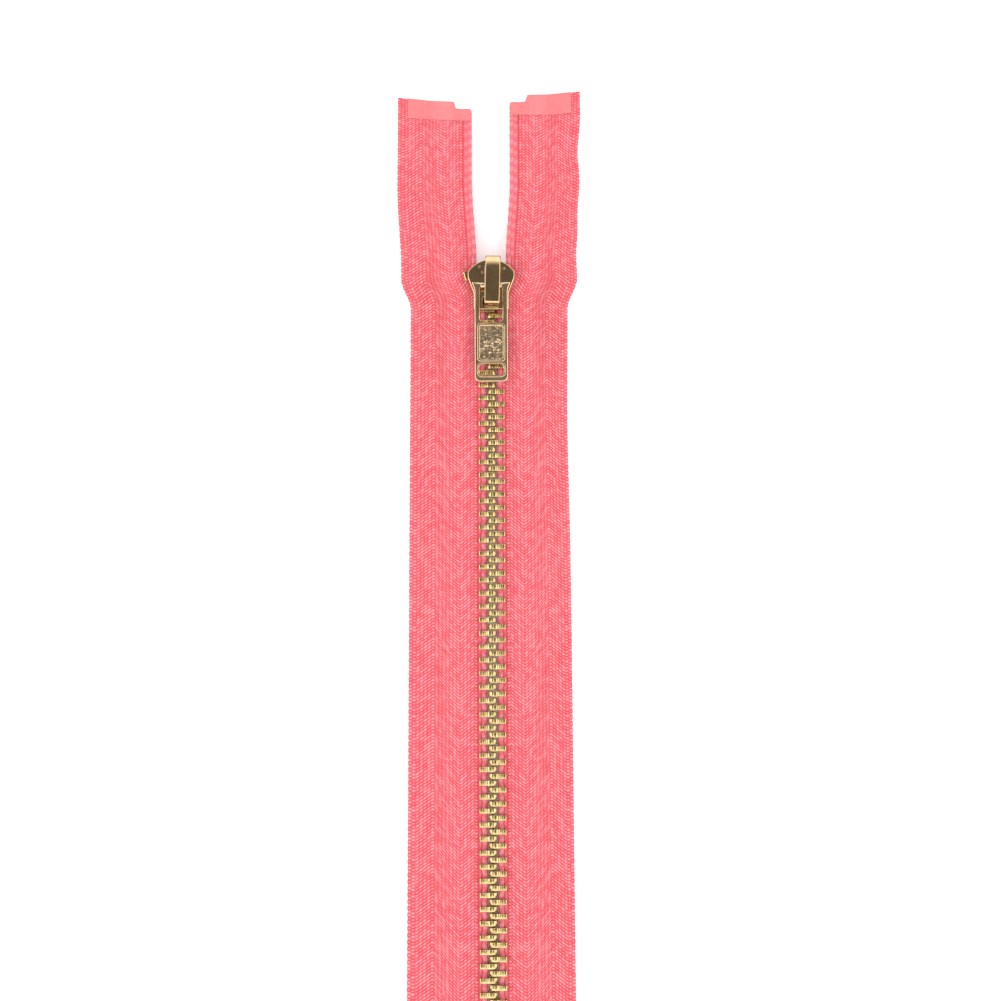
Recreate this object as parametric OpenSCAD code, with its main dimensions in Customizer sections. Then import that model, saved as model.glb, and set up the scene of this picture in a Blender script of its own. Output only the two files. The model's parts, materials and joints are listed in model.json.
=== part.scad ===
// Open-ended metal zipper, number 5, closed and lying on its back.
// X runs across the tapes, +Y towards the top end, +Z up out of the teeth's face.
// The origin is on the resting plane, under the middle of the whole length.

/* [Length] */
// Length from the slider's top to the bottom of the retainer box
zip_len = 200; // [180:5:260]
// Free tape above the slider
free_len = 38; // [25:1:45]

/* [Tape] */
// Half of the closed width, from the centre line to the outer edge
half_w = 16.2; // [14:0.1:18]
// Thickness of the woven tape
tape_t = 0.55; // [0.4:0.05:0.6]
// Radius of the cord in the tape's inner edge
cord_r = 0.62; // [0.5:0.02:0.64]
// Distance of the cord from the centre line when closed
cord_x = 1.55; // [1.5:0.05:1.65]
// How far each edge steps out where the slider parts the chain
part_w = 2; // [1.8:0.1:2.1]
// How much further each edge leans out above the slider
flare_w = 0.9; // [0.4:0.1:1.5]

/* [Film] */
// Height of the film strip at the top end
top_film_h = 4.2; // [3:0.2:6]
// Height of the film at the bottom end
end_film_h = 22; // [18:1:26]
// Thickness of the film
film_t = 0.12; // [0.08:0.01:0.15]

/* [Teeth] */
// Distance between neighbouring teeth of one tape
pitch = 2.6; // [2.6:0.1:2.8]
// Thickness of a tooth along the chain
tooth_t = 0.95; // [0.85:0.05:1]
// Height of a tooth across the tape's faces
tooth_h = 2.4; // [2.2:0.1:2.4]
// Half of the chain's width, to the outer ends of the legs
chain_w = 2.6; // [2.5:0.05:2.65]
// How far a tooth's head reaches past the centre line
head_over = 0.85; // [0.7:0.05:0.9]
// Height of the peg that enters the next tooth
peg_h = 0.45; // [0.35:0.01:0.5]

/* [Slider] */
// Length of the slider body
body_len = 10.9; // [10.5:0.1:11.5]
// Half of the width at the shoulders
shoulder_w = 4.75; // [4.6:0.05:5]
// Half of the width of the parallel lower part
waist_w = 3.55; // [3.5:0.05:3.7]
// Thickness of each plate
plate_t = 0.9; // [0.8:0.05:0.9]
// Height of the channel between the plates
channel_h = 3; // [2.9:0.05:3.1]
// Width of the crown
crown_w = 2.9; // [2.8:0.1:3.2]
// Height of the crown above the resting plane
crown_top = 8.5; // [8.4:0.1:9]

/* [Pull] */
// Width of the pull tab
pull_w = 6.6; // [6.4:0.05:7]
// Length from the cross bar's axis to the lower end
pull_len = 19.6; // [18:0.2:22]
// Thickness of the pull tab
pull_t = 1.2; // [1:0.05:1.2]
// Radius of the cross bar
bar_r = 0.7; // [0.6:0.05:0.7]

/* [Retainer] */
// Height of the retainer box along the tape
box_len = 9; // [8:0.5:10]
// Half of the width of the retainer box
box_w = 3.9; // [3.8:0.1:4.5]
// Length of the two pins from the lower end
pin_len = 14; // [13.5:0.1:14.2]

/* [Hidden] */
$fn = 48;

// Stations along Y
total_len = zip_len + free_len;
y_top = total_len / 2;
y_low = -total_len / 2;
y_slider = y_top - free_len;
y_pins = y_low + pin_len;
fork_len = 6.5;
y_fork = y_slider - 8;
flare_len = 18;
fork_steps = 10;
flare_steps = 5;

// Heights: the slider's lower plate rests at zero, and the chain is in the middle of its channel
mid_z = plate_t + channel_h / 2;
body_top = 2 * plate_t + channel_h;

// The tape leaves the chain level, slopes down and lies flat over its outer band
tape_overlap = 0.02;
tape_in = cord_x + cord_r - tape_overlap;
slope_from = 4.6;
slope_to = 10;
slope_steps = 5;
film_gap = 0.01;
film_inset = 2;
tape_drop = mid_z - tape_t / 2;
cut = 0.1;
cord_sides = 12;

// Teeth
nose_half = 0.45;
brow_x = 0.4;
brow_half = 0.98;
top_half = tooth_h / 2;
flat_from = 0.9;
toe_half = 0.9;
toe_len = 0.5;
grip_gap = 0.08;
slot_half = tape_t / 2 + 0.07;
peg_r = 0.22;
dimple_r = 0.32;
dimple_deep = 0.3;
y_tooth = y_slider - 4.9;
last_gap = 0.4;
tooth_count = floor((y_tooth - y_pins - tooth_t / 2 - last_gap) / pitch) + 1;
runs = 4;
run_len = ceil(tooth_count / runs);

// Top stops
stop_h = 1.9;
stop_y = y_slider - 2.65;
stop_in = 0.75;
left_stop_out = 3.75;
right_stop_out = 3.15;

// Slider
run_clear = 0.3;
edge_min = 0.1;
nose_r = 5.6;
shoulder_low = 4;
waist_from = 7;
slit_h = 1.3;
neck_low = 4.4;
neck_steps = 8;
channel_steps = 12;

// Lock pawl: a plate that rocks on the roll at its middle, with the prong at its lower end
lock_y = y_slider - 1.9;
rock_y = y_slider - 5.74;
lock_z = 7;
lock_t = 0.35;
roll_r = 0.25;
prong_y = y_slider - 8.8;
prong_in = 0.85;
prong_out = 1.3;
lock_w = 2 * prong_out;
prong_t = 0.8;
prong_low = mid_z + 0.95;
window_gap = 0.4;

// Crown
strap_t = 0.7;
foot_t = 0.8;
crown_front = 0.2;
crown_rear = 0.1;
crown_turn = 2;
neck_top = 0.4;
crown_round = 1.1;

// Pull tab
pull_y = y_slider - 5.9;
pull_z = 6;
pull_lean = 3;
arm_w = 1.05;
ear_over = 0.55;
window_low = 7.5;
panel_low = 15.7;
hole_low = 18.5;
hole_gap = 0.2;
hole_over = 0.3;
window_r = 0.6;
corner_r = 1.1;
rim_w = 0.75;
panel_deep = 0.2;

// Retainer box and pins
box_low_z = 0.4;
box_high_z = body_top - 0.4;
box_floor = 1.2;
box_r = 0.6;
pin_gap = 0.15;
pin_in = 0.35;
pin_h = 1.75;

function ease(t) = let (c = min(1, max(0, t))) c * c * (3 - 2 * c);

// Sideways step of one edge at height y: closed below, parted inside the slider, leaning out above
function step_at(y) =
    part_w * ease((y - y_fork) / fork_len) + flare_w * ease((y - y_slider) / flare_len);
function lean_at(y) = atan2(step_at(y + cut) - step_at(y - cut), 2 * cut);

// Height of the tape's middle surface at x from the centre line
function tape_z(x) = mid_z - tape_drop * ease((x - slope_from) / (slope_to - slope_from));

function between(a, b, n) = [for (i = [0:n]) a + (b - a) * i / n];

// Stations between two heights: only the fork and the flare need many
function stations(low, high) =
    let (fork = between(y_fork, y_fork + fork_len, fork_steps))
    let (flare = between(y_slider, y_slider + flare_len, flare_steps))
    let (all = concat([low, y_low + end_film_h], fork, flare, [y_top - top_film_h, high]))
    [for (y = all) if (y == low || y == high || (y > low + cut && y < high - cut)) y];

// Side faces of a tube of rings with n points each
function side_faces(rings, n) = [
    for (i = [0:rings - 2])
        for (j = [0:n - 1])
            [i * n + j, (i + 1) * n + j, (i + 1) * n + (j + 1) % n, i * n + (j + 1) % n]
];

// A round end is one face; the end of a strip is a row of quads from its front to its back
function round_end(first, n) = [[for (j = [0:n - 1]) first + j]];
function strip_end(first, n) =
    [for (j = [0:n / 2 - 2]) [first + j, first + j + 1, first + n - 2 - j, first + n - 1 - j]];
function turned(faces) = [for (f = faces) [for (k = [len(f) - 1:-1:0]) f[k]]];

// A strip of cloth or film over the tape's shape, between two offsets from its middle surface
module strip(ys, xs, low, high) {
    ring = [for (x = xs) [x, tape_z(x) + high]];
    back = [for (i = [len(xs) - 1:-1:0]) [xs[i], tape_z(xs[i]) + low]];
    section = concat(ring, back);
    n = len(section);
    points = [for (y = ys) for (p = section) [p[0] + step_at(y), y, p[1]]];
    ends = concat(strip_end(0, n), turned(strip_end((len(ys) - 1) * n, n)));
    polyhedron(points, concat(ends, side_faces(len(ys), n)), convexity = 6);
}

module tape() {
    xs = concat([tape_in], between(slope_from, slope_to, slope_steps), [half_w]);
    strip(stations(y_low, y_top), xs, -tape_t / 2, tape_t / 2);
}

module film(low, high, from) {
    sloped = [for (x = between(slope_from, slope_to, slope_steps)) if (x > from) x];
    xs = concat([from], sloped, [half_w - film_inset]);
    strip(stations(low, high), xs, tape_t / 2 + film_gap, tape_t / 2 + film_gap + film_t);
}

module edge_cord() {
    ys = stations(y_low, y_top);
    turn = [for (k = [0:cord_sides - 1]) -(k + 0.5) * 360 / cord_sides];
    section = [for (a = turn) [cord_x + cord_r * cos(a), mid_z + cord_r * sin(a)]];
    points = [for (y = ys) for (p = section) [p[0] + step_at(y), y, p[1]]];
    last = (len(ys) - 1) * cord_sides;
    ends = concat(round_end(0, cord_sides), turned(round_end(last, cord_sides)));
    polyhedron(points, concat(ends, side_faces(len(ys), cord_sides)), convexity = 4);
}

// A child drawn at the centre line goes to height y of the right-hand stringer, square to its edge
module seat(y) {
    translate([cord_x + step_at(y), y, mid_z])
        rotate([0, 0, -lean_at(y)])
            translate([-cord_x, 0, 0])
                children();
}

// The clamp shape that teeth, stops and pins share: a round seat for the cord and a slot for the tape
module grip_cut(far) {
    translate([cord_x, 0])
        circle(r = cord_r + grip_gap);
    translate([cord_x, -slot_half])
        square([far, 2 * slot_half]);
}

module tooth() {
    upper = [
        [chain_w, toe_half], [chain_w - toe_len, top_half], [flat_from, top_half],
        [-brow_x, brow_half], [-head_over, nose_half]
    ];
    lower = [for (i = [len(upper) - 1:-1:0]) [upper[i][0], -upper[i][1]]];
    difference() {
        rotate([90, 0, 0])
            linear_extrude(height = tooth_t, center = true)
                difference() {
                    polygon(concat(upper, lower));
                    grip_cut(chain_w);
                }
        translate([0, -tooth_t / 2 - cut, 0])
            rotate([-90, 0, 0])
                cylinder(r = dimple_r, h = dimple_deep + cut);
    }
    translate([0, tooth_t / 2 - cut, 0])
        rotate([-90, 0, 0])
            cylinder(r = peg_r, h = peg_h + cut);
}

// One run of teeth, counted down from the top; the right-hand row sits half a pitch lower
module tooth_run(run, shift, count) {
    first = run * run_len;
    last = min(count, first + run_len) - 1;
    for (i = [first:last])
        seat(y_tooth - shift - i * pitch)
            tooth();
}

module left_run(run) {
    color("goldenrod")
        mirror([1, 0, 0])
            tooth_run(run, 0, tooth_count);
}

module right_run(run) {
    color("goldenrod")
        tooth_run(run, pitch / 2, tooth_count - 1);
}

// The two stops are crimped on by eye, and the left one reaches further out
module top_stop(out) {
    seat(stop_y)
        rotate([90, 0, 0])
            linear_extrude(height = stop_h, center = true)
                difference() {
                    translate([stop_in, -top_half])
                        square([out - stop_in, tooth_h]);
                    grip_cut(out);
                }
}

// Plan of the slider's plates, with its top end at the origin
module plate_plan() {
    sides = [
        [-shoulder_w, 0], [shoulder_w, 0], [shoulder_w, -shoulder_low], [waist_w, -waist_from],
        [waist_w, -body_len], [-waist_w, -body_len], [-waist_w, -waist_from],
        [-shoulder_w, -shoulder_low]
    ];
    intersection() {
        polygon(sides);
        union() {
            translate([0, -nose_r])
                circle(r = nose_r, $fn = 96);
            translate([-shoulder_w, -body_len])
                square([2 * shoulder_w, body_len - nose_r]);
        }
    }
}

// Side of the channel at height y below the slider's top, with its running clearance
function wall_at(y) = chain_w + step_at(y_slider + y) + run_clear;

module channel_plan() {
    ys = between(-body_len - cut, -shoulder_low + cut, channel_steps);
    right = [for (y = ys) [wall_at(y), y]];
    left = [for (i = [len(ys) - 1:-1:0]) [-wall_at(ys[i]), ys[i]]];
    polygon(concat(right, left));
    translate([-shoulder_w - cut, -shoulder_low])
        square([2 * shoulder_w + 2 * cut, shoulder_low + cut]);
}

// The neck that parts the teeth: as wide as the gap between their heads allows
function neck_at(y) = step_at(y_slider + y) - head_over - run_clear;

module neck_plan() {
    ys = between(-neck_low, -neck_top, neck_steps);
    right = [for (y = ys) [max(edge_min, neck_at(y)), y]];
    left = [for (i = [len(ys) - 1:-1:0]) [-max(edge_min, neck_at(ys[i])), ys[i]]];
    polygon(concat(right, left));
}

module slider_body() {
    color("burlywood")
        translate([0, y_slider, 0])
            union() {
                difference() {
                    linear_extrude(height = body_top)
                        plate_plan();
                    translate([0, 0, plate_t])
                        linear_extrude(height = channel_h)
                            channel_plan();
                    translate([-shoulder_w - cut, -body_len - cut, mid_z - slit_h / 2])
                        cube([2 * shoulder_w + 2 * cut, body_len + 2 * cut, slit_h]);
                    translate([-prong_out, prong_y - y_slider - prong_t / 2, body_top - plate_t - cut])
                        translate([-window_gap, -window_gap, 0])
                            cube([prong_out - prong_in + 2 * window_gap, prong_t + 2 * window_gap,
                                plate_t + 2 * cut]);
                }
                translate([0, 0, plate_t / 2])
                    linear_extrude(height = channel_h + plate_t)
                        neck_plan();
            }
}

// Side view of the crown: a strap on two feet, drawn with Y to the right and Z up
module crown_side() {
    front = crown_front;
    rear = -body_len + crown_rear;
    difference() {
        union() {
            translate([rear, body_top])
                square([front - rear, crown_top - body_top - crown_round]);
            translate([rear + crown_round, body_top])
                square([front - rear - 2 * crown_round, crown_top - body_top]);
            for (y = [rear + crown_round, front - crown_round])
                translate([y, crown_top - crown_round])
                    circle(r = crown_round);
        }
        translate([rear + foot_t, body_top - cut])
            square([front - rear - 2 * foot_t, crown_top - strap_t - body_top + cut]);
    }
}

module slider_crown() {
    color("tan")
        translate([0, y_slider - body_len / 2, 0])
            rotate([90, 0, 90 - crown_turn])
                translate([body_len / 2, 0, 0])
                    linear_extrude(height = crown_w, center = true)
                        crown_side();
}

module lock_pawl() {
    color("silver")
        union() {
            translate([-lock_w / 2, rock_y, lock_z])
                rotate([0, 90, 0])
                    cylinder(r = roll_r, h = lock_w);
            translate([-lock_w / 2, prong_y - prong_t / 2, lock_z - lock_t / 2])
                cube([lock_w, lock_y - prong_y + prong_t / 2, lock_t]);
            translate([-prong_out, prong_y - prong_t / 2, prong_low])
                cube([prong_out - prong_in, prong_t, lock_z - prong_low]);
        }
}

module round_rect(x, y, w, h, r) {
    translate([x + r, y])
        square([w - 2 * r, h]);
    translate([x, y + r])
        square([w, h - 2 * r]);
    for (cx = [x + r, x + w - r])
        for (cy = [y + r, y + h - r])
            translate([cx, cy])
                circle(r = r);
}

// Plan of the pull tab with the cross bar's axis at the origin
module pull_plan() {
    inner = pull_w / 2 - arm_w;
    difference() {
        round_rect(-pull_w / 2, -pull_len, pull_w, pull_len, corner_r);
        round_rect(-inner, -window_low, 2 * inner, window_low + corner_r + cut, window_r);
        round_rect(-inner - hole_over, -hole_low, 2 * inner + 2 * hole_over,
            hole_low - panel_low - hole_gap, window_r);
    }
}

module pull_tab() {
    panel_w = pull_w - 2 * rim_w;
    color("burlywood")
        translate([0, pull_y, pull_z])
            rotate([pull_lean, 0, 0])
                union() {
                    difference() {
                        translate([0, 0, -pull_t / 2])
                            linear_extrude(height = pull_t)
                                pull_plan();
                        for (z = [pull_t / 2 - panel_deep, -pull_t / 2 - cut])
                            translate([-panel_w / 2, -panel_low + rim_w, z])
                                cube([panel_w, panel_low - window_low - 2 * rim_w, panel_deep + cut]);
                    }
                    translate([-pull_w / 2 - ear_over, 0, 0])
                        rotate([0, 90, 0])
                            cylinder(r = bar_r, h = pull_w + 2 * ear_over);
                }
}

module pin_shape(low, high) {
    translate([0, high, mid_z])
        rotate([90, 0, 0])
            linear_extrude(height = high - low)
                difference() {
                    translate([pin_in, -pin_h / 2])
                        square([chain_w - pin_in, pin_h]);
                    grip_cut(chain_w);
                }
}

module box_pin() {
    color("goldenrod")
        mirror([1, 0, 0])
            pin_shape(y_low + box_floor, y_pins);
}

module insertion_pin() {
    color("goldenrod")
        pin_shape(y_low + box_floor + pin_gap, y_pins);
}

// The box grips the left pin closely, and the right pin slides in it.
// The middle of its floor joins its two halves
module retainer_box() {
    color("burlywood")
        difference() {
            translate([0, y_low, box_low_z])
                linear_extrude(height = box_high_z - box_low_z)
                    round_rect(-box_w, 0, 2 * box_w, box_len, box_r);
            translate([-chain_w - grip_gap, y_low + box_floor - grip_gap, mid_z - pin_h / 2 - grip_gap])
                cube([chain_w + grip_gap, box_len, pin_h + 2 * grip_gap]);
            translate([-cut, y_low + box_floor, mid_z - pin_h / 2 - pin_gap])
                cube([chain_w + pin_gap + cut, box_len, pin_h + 2 * pin_gap]);
            for (side = [0, 1])
                mirror([side, 0, 0]) {
                    translate([cord_x, y_low - cut, mid_z - slit_h / 2])
                        cube([box_w, box_len + 2 * cut, slit_h]);
                    translate([cord_x, y_low - cut, mid_z])
                        rotate([-90, 0, 0])
                            cylinder(r = cord_r + grip_gap, h = box_floor + 2 * cut);
                }
        }
}

// The tapes, cords, stops and films come in mirrored pairs
module left() {
    mirror([1, 0, 0])
        children();
}

module left_tape() { color("salmon") left() tape(); }
module right_tape() { color("salmon") tape(); }
module left_edge_cord() { color("tomato") left() edge_cord(); }
module right_edge_cord() { color("tomato") edge_cord(); }
module left_top_stop() { color("goldenrod") left() top_stop(left_stop_out); }
module right_top_stop() { color("goldenrod") top_stop(right_stop_out); }
module top_film() { color("lightsalmon") film(y_top - top_film_h, y_top, tape_in); }
module end_film() { color("lightsalmon") film(y_low, y_low + end_film_h, slope_from); }

left_tape();
right_tape();
left_edge_cord();
right_edge_cord();
left_run(0);  // left_teeth_1
left_run(1);  // left_teeth_2
left_run(2);  // left_teeth_3
left_run(3);  // left_teeth_4
right_run(0);  // right_teeth_1
right_run(1);  // right_teeth_2
right_run(2);  // right_teeth_3
right_run(3);  // right_teeth_4
left_top_stop();
right_top_stop();
left() top_film();  // left_top_film
top_film();  // right_top_film
left() end_film();  // left_end_film
end_film();  // right_end_film
retainer_box();
box_pin();
insertion_pin();
slider_body();
slider_crown();
lock_pawl();
pull_tab();
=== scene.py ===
# %% [markdown]
# # A separating metal zipper
# The zipper lies closed on a pale floor, with its slider near the top end. The cells build it in the
# order in which a factory does: cloth first, then the brass teeth clamped on it, then the slider that
# closes them, and last the box and pins at the lower end. Every length below is in millimetres, and
# one function turns them into Blender's metres, so that the numbers read like a maker's drawing.

# %% Load the frame
import json
import math

import bmesh
import bpy
import numpy as np
from mathutils import Matrix, Vector


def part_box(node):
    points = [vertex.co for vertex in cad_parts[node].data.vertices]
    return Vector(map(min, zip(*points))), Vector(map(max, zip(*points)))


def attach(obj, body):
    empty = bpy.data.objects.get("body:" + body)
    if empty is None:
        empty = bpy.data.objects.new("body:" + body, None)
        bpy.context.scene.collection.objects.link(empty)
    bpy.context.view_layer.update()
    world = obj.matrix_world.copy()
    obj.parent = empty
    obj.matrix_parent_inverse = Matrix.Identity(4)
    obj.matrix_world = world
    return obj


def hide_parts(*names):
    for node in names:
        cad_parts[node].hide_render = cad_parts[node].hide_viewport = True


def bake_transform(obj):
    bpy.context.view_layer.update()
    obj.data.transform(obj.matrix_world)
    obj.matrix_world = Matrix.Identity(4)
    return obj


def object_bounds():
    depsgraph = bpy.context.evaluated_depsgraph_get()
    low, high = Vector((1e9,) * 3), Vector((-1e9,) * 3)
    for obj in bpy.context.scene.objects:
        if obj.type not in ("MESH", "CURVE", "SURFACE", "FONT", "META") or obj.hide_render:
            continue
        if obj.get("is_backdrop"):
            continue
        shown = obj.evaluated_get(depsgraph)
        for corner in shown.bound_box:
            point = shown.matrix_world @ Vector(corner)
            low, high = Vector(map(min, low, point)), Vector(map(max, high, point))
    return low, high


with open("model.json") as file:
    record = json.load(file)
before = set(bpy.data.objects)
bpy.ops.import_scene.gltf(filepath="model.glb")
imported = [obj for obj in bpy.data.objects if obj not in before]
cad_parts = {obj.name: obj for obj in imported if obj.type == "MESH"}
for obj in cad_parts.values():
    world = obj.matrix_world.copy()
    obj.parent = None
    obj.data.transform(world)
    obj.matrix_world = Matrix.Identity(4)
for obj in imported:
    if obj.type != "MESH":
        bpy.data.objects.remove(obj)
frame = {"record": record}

MM = 0.001
scene = bpy.context.scene
cad_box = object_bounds()

# %% [markdown]
# ## Camera
# The camera comes first, because it decides how much detail each piece needs. It looks almost
# straight down from close by, and it stands a little below the middle and leans back, which makes
# the lower end a touch larger. Placing it from a target point, a distance and a lean keeps the three
# easy to change one at a time.

# %% Camera
CAMERA_LENS = 40.7
CAMERA_AWAY = 225
CAMERA_LEAN = math.radians(7)
CAMERA_TURN = math.radians(-0.25)
CAMERA_TARGET = Vector((1.7, 32.12, 2.4))


def place_camera():
    camera = bpy.data.objects.new("camera", bpy.data.cameras.new("camera"))
    camera.data.lens = CAMERA_LENS
    camera.data.clip_start = 0.01
    away = Vector((0, -math.sin(CAMERA_LEAN), math.cos(CAMERA_LEAN))) * CAMERA_AWAY
    camera.location = (CAMERA_TARGET + away) * MM
    look = (-away).to_track_quat("-Z", "Y")
    camera.rotation_mode = "QUATERNION"
    camera.rotation_quaternion = look @ Matrix.Rotation(CAMERA_TURN, 4, "Z").to_quaternion()
    scene.collection.objects.link(camera)
    scene.camera = camera
    return camera


print("camera at", [round(c, 4) for c in place_camera().location])

# %% [markdown]
# ## Shader maths as plain expressions
# A procedural material is arithmetic on coordinates. Adding each Math node by hand hides the formula,
# so a small class wraps a socket and turns `a * b + 1` into the nodes. Everything that isn't plain
# arithmetic comes from one method that takes the node's type, its settings and its inputs.

# %% Value and Paint
class Value:
    """An output socket; arithmetic on it adds Math nodes to its tree."""

    def __init__(self, paint, socket):
        self.paint = paint
        self.socket = socket

    def math(self, operation, *others, clamp=False):
        inputs = dict(enumerate((self, *others)))
        settings = {"operation": operation, "use_clamp": clamp}
        return self.paint.node("ShaderNodeMath", settings, inputs)

    def __add__(self, other):
        return self.math("ADD", other)

    def __sub__(self, other):
        return self.math("SUBTRACT", other)

    def __mul__(self, other):
        return self.math("MULTIPLY", other)

    def __truediv__(self, other):
        return self.math("DIVIDE", other)

    def __rsub__(self, other):
        return self * -1 + other

    __radd__ = __add__
    __rmul__ = __mul__

    def clamped(self):
        return self.math("ADD", 0, clamp=True)

    def below(self, limit):
        return self.math("LESS_THAN", limit)

    def above(self, limit):
        return self.math("GREATER_THAN", limit)

    def ridge(self):
        """1 halfway between whole numbers, falling to 0 at each whole number."""
        return 1 - (self.math("FRACT") - 0.5).math("ABSOLUTE") * 2


class Paint:
    """A material's node tree, or the world's, filled one node at a time."""

    def __init__(self, owner):
        self.owner = owner
        owner.use_nodes = True
        self.tree = owner.node_tree
        self.tree.nodes.clear()

    def node(self, kind, settings=None, inputs=None, output=0):
        made = self.tree.nodes.new(kind)
        for name, value in (settings or {}).items():
            if name == "stops":
                self.set_stops(made.color_ramp, value)
            else:
                setattr(made, name, value)
        for name, value in (inputs or {}).items():
            if isinstance(value, Value):
                self.tree.links.new(value.socket, made.inputs[name])
            else:
                made.inputs[name].default_value = value
        return Value(self, made.outputs[output]) if made.outputs else None

    @staticmethod
    def set_stops(ramp, stops):
        while len(ramp.elements) < len(stops):
            ramp.elements.new(1)
        for element, (position, colour) in zip(ramp.elements, stops):
            element.position = position
            element.color = (*colour, 1)

    def mix(self, factor, first, second):
        inputs = {0: factor, 6: first, 7: second}
        for slot in (6, 7):
            if not isinstance(inputs[slot], Value):
                inputs[slot] = (*inputs[slot], 1)
        return self.node("ShaderNodeMix", {"data_type": "RGBA"}, inputs, output=2)

    def ramp(self, value, stops):
        return self.node("ShaderNodeValToRGB", {"stops": stops}, {0: value})

    def noise(self, vector, scale, detail=2.0, roughness=0.5):
        inputs = {"Vector": vector, "Scale": scale, "Detail": detail, "Roughness": roughness}
        return self.node("ShaderNodeTexNoise", None, inputs)

    def bump(self, height, distance_mm, strength=1.0):
        inputs = {"Height": height, "Distance": distance_mm * MM, "Strength": strength}
        return self.node("ShaderNodeBump", None, inputs)

    def surface(self, inputs):
        shader = self.node("ShaderNodeBsdfPrincipled", None, inputs)
        self.node("ShaderNodeOutputMaterial", None, {"Surface": shader})
        return self.owner


def new_paint(name):
    return Paint(bpy.data.materials.new(name))


# %% [markdown]
# ## Floor and light
# Polished metal shows its surroundings, so the light is part of the finish. A dark patch overhead
# gives flat gold its brown, and a bright ring of sky round it draws light lines along every rounded
# edge and leaves no hard shadows. The patch leans towards the top end, so teeth far below the slider
# already mirror the ring's inner edge and look brighter. Two small panels add the sparkle on the teeth.
# The floor is a plain, nearly white sheet with a faint glow of its own, which thins the shadow that
# would otherwise lie in the gap between the tapes.

# %% Floor and light
FLOOR_SIZE = 3000
FLOOR_GLOW = 0.2
OVERHEAD = (0.21, 0.20, 0.19)
HORIZON = (2.45, 2.46, 2.5)
DARK_TOWARDS = (0, 0.24, 0.97)
PANELS = [
    ("left_panel", (-620, 60, 520), 420, 0.7),
    ("right_panel", (620, 0, 520), 420, 0.5),
]


def make_floor():
    half = FLOOR_SIZE / 2 * MM
    mesh = bpy.data.meshes.new("floor")
    corners = [(-half, -half, 0), (half, -half, 0), (half, half, 0), (-half, half, 0)]
    mesh.from_pydata(corners, [], [(0, 1, 2, 3)])
    floor = bpy.data.objects.new("floor", mesh)
    paint = new_paint("pale_floor")
    grain = paint.noise(paint.node("ShaderNodeTexCoord", output=3), 900)
    colour = paint.mix(grain, (0.96, 0.96, 0.96), (0.98, 0.98, 0.98))
    inputs = {"Base Color": colour, "Roughness": 0.9}
    inputs["Emission Color"] = (1, 1, 1, 1)
    inputs["Emission Strength"] = FLOOR_GLOW
    mesh.materials.append(paint.surface(inputs))
    scene.collection.objects.link(floor)
    floor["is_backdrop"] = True


def make_sky():
    scene.world = bpy.data.worlds.new("studio")
    paint = Paint(scene.world)
    direction = paint.node("ShaderNodeTexCoord", output=0)
    facing = paint.node(
        "ShaderNodeVectorMath", {"operation": "DOT_PRODUCT"}, {0: direction, 1: DARK_TOWARDS}, output=1
    )
    stops = [(0.0, HORIZON), (0.62, HORIZON), (0.86, OVERHEAD), (1.0, OVERHEAD)]
    colour = paint.ramp(facing, stops)
    sky = paint.node("ShaderNodeBackground", None, {"Color": colour, "Strength": 1.0})
    paint.node("ShaderNodeOutputWorld", None, {"Surface": sky})


def make_panel(name, place, size, power):
    lamp = bpy.data.lights.new(name, "AREA")
    lamp.shape = "DISK"
    lamp.size = size * MM
    lamp.energy = power
    panel = bpy.data.objects.new(name, lamp)
    panel.location = Vector(place) * MM
    panel.rotation_euler = (-Vector(place)).to_track_quat("-Z", "Y").to_euler()
    scene.collection.objects.link(panel)


make_floor()
make_sky()
for panel in PANELS:
    make_panel(*panel)
scene.view_settings.view_transform = "Standard"
print("light panels:", len(PANELS))

# %% [markdown]
# ## Landmarks
# Places come from the frame's boxes. The two edges of the chain run closed up to the slider, part
# inside it and lean a little outwards above it, and one function gives that sideways step at any
# height. Each tape leaves the chain level, slopes down and lies flat on the floor.

# %% Landmarks
def box_mm(node):
    low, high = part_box(node)
    return np.array(low) / MM, np.array(high) / MM


Y_LOW = box_mm("left_tape")[0][1]
Y_TOP = box_mm("left_tape")[1][1]
Y_SLIDER = box_mm("slider_body")[1][1]
BODY_TOP = box_mm("slider_body")[1][2]
MID_Z = BODY_TOP / 2
FORK_LEN = 6.5
Y_FORK = Y_SLIDER - 8
PART_W = 2.0
FLARE_W = 0.9
FLARE_LEN = 18
CORD_X = 1.55
CORD_R = 0.62
TAPE_IN = 2.15
HALF_W = 16.2
TAPE_W = HALF_W - TAPE_IN
TAPE_HALF_T = 0.275
SLOPE_FROM = 4.6
SLOPE_TO = 10
TAPE_DROP = MID_Z - TAPE_HALF_T
SIDES = {"left": -1, "right": 1}


def ease(t):
    t = np.clip(t, 0, 1)
    return t * t * (3 - 2 * t)


def step_at(y):
    return PART_W * ease((y - Y_FORK) / FORK_LEN) + FLARE_W * ease((y - Y_SLIDER) / FLARE_LEN)


def tape_z(x):
    return MID_Z - TAPE_DROP * ease((x - SLOPE_FROM) / (SLOPE_TO - SLOPE_FROM))


print("length", round(Y_TOP - Y_LOW, 1), "slider's top at", round(Y_SLIDER, 1))

# %% [markdown]
# ## Mesh helpers
# Cloth and film are slabs: one grid of points for the front, one for the back, and a rim between.
# Flat metal is a plan with rounded edges: a filled 2D curve with a bevel gives that in one go, holes
# included, and its caps stay flat under a Weighted Normal modifier. All helpers work in millimetres.

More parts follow.
